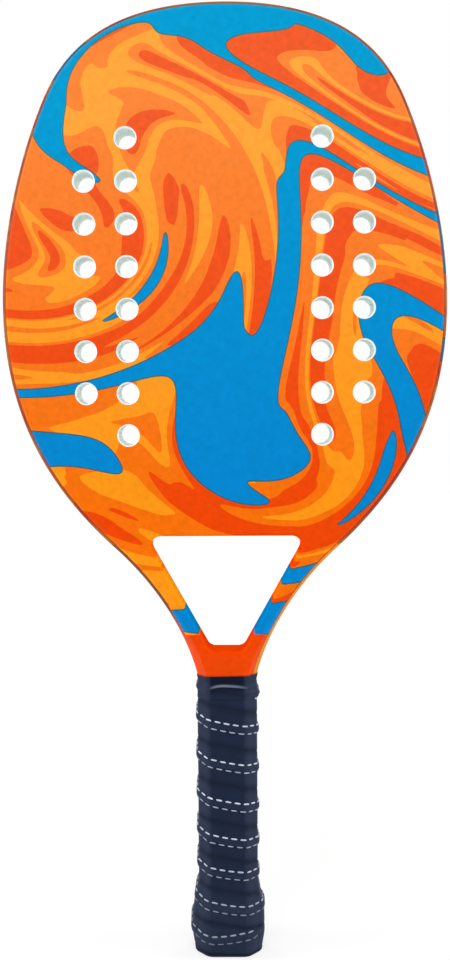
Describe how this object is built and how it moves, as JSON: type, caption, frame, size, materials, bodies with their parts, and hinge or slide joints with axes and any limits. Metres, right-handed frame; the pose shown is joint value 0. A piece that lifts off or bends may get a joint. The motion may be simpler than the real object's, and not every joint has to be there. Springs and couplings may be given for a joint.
{
  "type": "beach tennis racket",
  "caption": "Beach tennis racket: perforated foam-core head in a moulded shell, open triangular throat, octagonal handle with a stitched wound grip.",
  "frame": {"origin": "middle of the butt's flat end", "axes": "+Z from the butt to the crown, front face looking along -Y, +X to the right of someone looking at the front face"},
  "size_m": [0.2314, 0.0356, 0.5],
  "materials": {
    "front_print": "satin print on a fine-grained moulded skin, orange and blue marbling",
    "back_print": "satin print on a fine-grained moulded skin, orange and blue marbling",
    "white_foam": "matt white closed-cell foam",
    "glass_tube": "plain glass-fibre laminate",
    "pale_foam": "matt rigid foam",
    "navy_rubber": "matt moulded rubber",
    "navy_wrap": "matt synthetic grip leather with a sewn rib",
    "navy_tape": "satin stretch tape"
  },
  "bodies": {
    "root": {"front_skin": "front_print", "back_skin": "back_print", "foam_core": "white_foam", "frame_tube": "glass_tube", "throat_bridge": "glass_tube", "handle_filler": "pale_foam", "butt_cap": "navy_rubber", "grip_strip": "navy_wrap", "finishing_tape": "navy_tape"}
  },
  "joints": []
}
